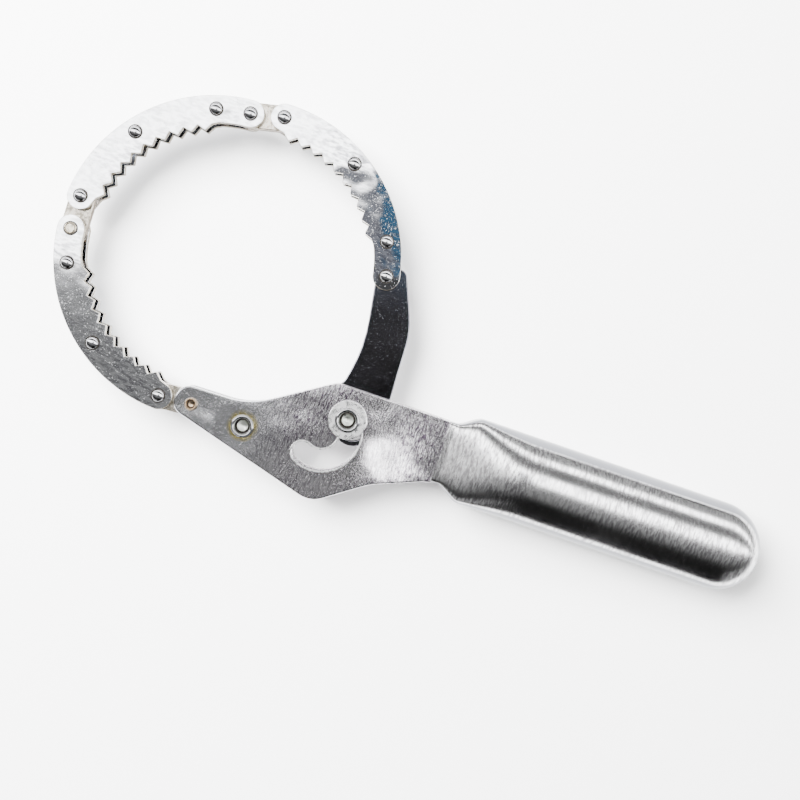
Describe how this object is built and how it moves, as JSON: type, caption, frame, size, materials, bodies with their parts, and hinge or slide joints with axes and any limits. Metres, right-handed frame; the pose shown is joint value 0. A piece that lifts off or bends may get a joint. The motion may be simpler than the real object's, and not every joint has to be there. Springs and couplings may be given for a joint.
{
  "type": "oil filter wrench",
  "caption": "Adjustable oil filter wrench: stamped steel handle, linked toothed jaws in a ring, and an arm on a sliding size pin.",
  "frame": {"origin": "middle of the bounding box, on the surface the wrench lies on with its front face up", "axes": "+X along the grip towards its round end, +Y across the ring away from the handle's head, +Z out of the front face"},
  "size_m": [0.248, 0.1176, 0.022],
  "materials": {
    "satin_steel": "plated, cross-brushed satin",
    "jaw_steel": "bright plated",
    "dark_arm": "mirror plated, reflects dark",
    "link_steel": "plain plated, slightly yellow",
    "rivet_chrome": "bright",
    "bronze_rivet": "tarnished"
  },
  "bodies": {
    "handle": {"front_handle_shell": "satin_steel", "rear_handle_shell": "satin_steel", "head_rivet": "rivet_chrome", "head_spacer": "link_steel", "band_anchor_rivet": "bronze_rivet"},
    "pin_slider": {"size_pin": "rivet_chrome", "front_pin_washer": "rivet_chrome", "rear_pin_washer": "rivet_chrome"},
    "link_a": {"link_a": "link_steel"},
    "jaw_1": {"jaw_1_front_plate": "jaw_steel", "jaw_1_rear_plate": "jaw_steel", "jaw_1_near_pivot_rivet": "rivet_chrome", "jaw_1_near_spacer_rivet": "rivet_chrome", "jaw_1_far_spacer_rivet": "rivet_chrome", "jaw_1_far_pivot_rivet": "rivet_chrome", "jaw_1_near_spacer_sleeve": "link_steel", "jaw_1_far_spacer_sleeve": "link_steel"},
    "link_b": {"link_b": "link_steel"},
    "jaw_2": {"jaw_2_front_plate": "jaw_steel", "jaw_2_rear_plate": "jaw_steel", "jaw_2_near_pivot_rivet": "rivet_chrome", "jaw_2_near_spacer_rivet": "rivet_chrome", "jaw_2_far_spacer_rivet": "rivet_chrome", "jaw_2_far_pivot_rivet": "rivet_chrome", "jaw_2_near_spacer_sleeve": "link_steel", "jaw_2_far_spacer_sleeve": "link_steel"},
    "link_c": {"link_c": "link_steel"},
    "jaw_3": {"jaw_3_front_plate": "jaw_steel", "jaw_3_rear_plate": "jaw_steel", "jaw_3_near_pivot_rivet": "rivet_chrome", "jaw_3_near_spacer_rivet": "rivet_chrome", "jaw_3_far_spacer_rivet": "rivet_chrome", "jaw_3_far_pivot_rivet": "rivet_chrome", "jaw_3_near_spacer_sleeve": "link_steel", "jaw_3_far_spacer_sleeve": "link_steel"},
    "arm": {"arm": "dark_arm"}
  },
  "joints": [
    {"name": "size_pin_travel", "type": "hinge", "parent": "handle", "child": "pin_slider", "pos_m": [-0.022, -0.037, 0.011], "axis": [0, 0, -1], "range_deg": [0, 160]},
    {"name": "link_a_pivot", "type": "hinge", "parent": "handle", "child": "link_a", "pos_m": [-0.0645, -0.0421, 0.011], "axis": [0, 0, 1], "range_deg": [-5.6, 0]},
    {"name": "jaw_1_pivot", "type": "hinge", "parent": "link_a", "child": "jaw_1", "pos_m": [-0.07537, -0.04294, 0.011], "axis": [0, 0, 1], "range_deg": [-2.7, 0]},
    {"name": "link_b_pivot", "type": "hinge", "parent": "jaw_1", "child": "link_b", "pos_m": [-0.11922, -0.00132, 0.011], "axis": [0, 0, 1], "range_deg": [-0.5, 0]},
    {"name": "jaw_2_pivot", "type": "hinge", "parent": "link_b", "child": "jaw_2", "pos_m": [-0.11961, 0.00958, 0.011], "axis": [0, 0, 1], "range_deg": [-1.4, 0]},
    {"name": "link_c_pivot", "type": "hinge", "parent": "jaw_2", "child": "link_c", "pos_m": [-0.07655, 0.05203, 0.011], "axis": [0, 0, 1], "range_deg": [-6.3, 0]},
    {"name": "jaw_3_pivot", "type": "hinge", "parent": "link_c", "child": "jaw_3", "pos_m": [-0.06592, 0.05441, 0.011], "axis": [0, 0, 1], "range_deg": [-3.6, 0]},
    {"name": "arm_pivot", "type": "hinge", "parent": "jaw_3", "child": "arm", "pos_m": [-0.0186, 0.01677, 0.011], "axis": [0, 0, 1], "range_deg": [0, 14.1]}
  ],
  "couplings": [
    {"joint": "link_a_pivot", "follows": "size_pin_travel", "ratio": -0.03491},
    {"joint": "jaw_1_pivot", "follows": "size_pin_travel", "ratio": -0.01672},
    {"joint": "link_b_pivot", "follows": "size_pin_travel", "ratio": -0.00291},
    {"joint": "jaw_2_pivot", "follows": "size_pin_travel", "ratio": -0.00818},
    {"joint": "link_c_pivot", "follows": "size_pin_travel", "ratio": -0.03906},
    {"joint": "jaw_3_pivot", "follows": "size_pin_travel", "ratio": -0.02217},
    {"joint": "arm_pivot", "follows": "size_pin_travel", "ratio": 0.08792}
  ]
}
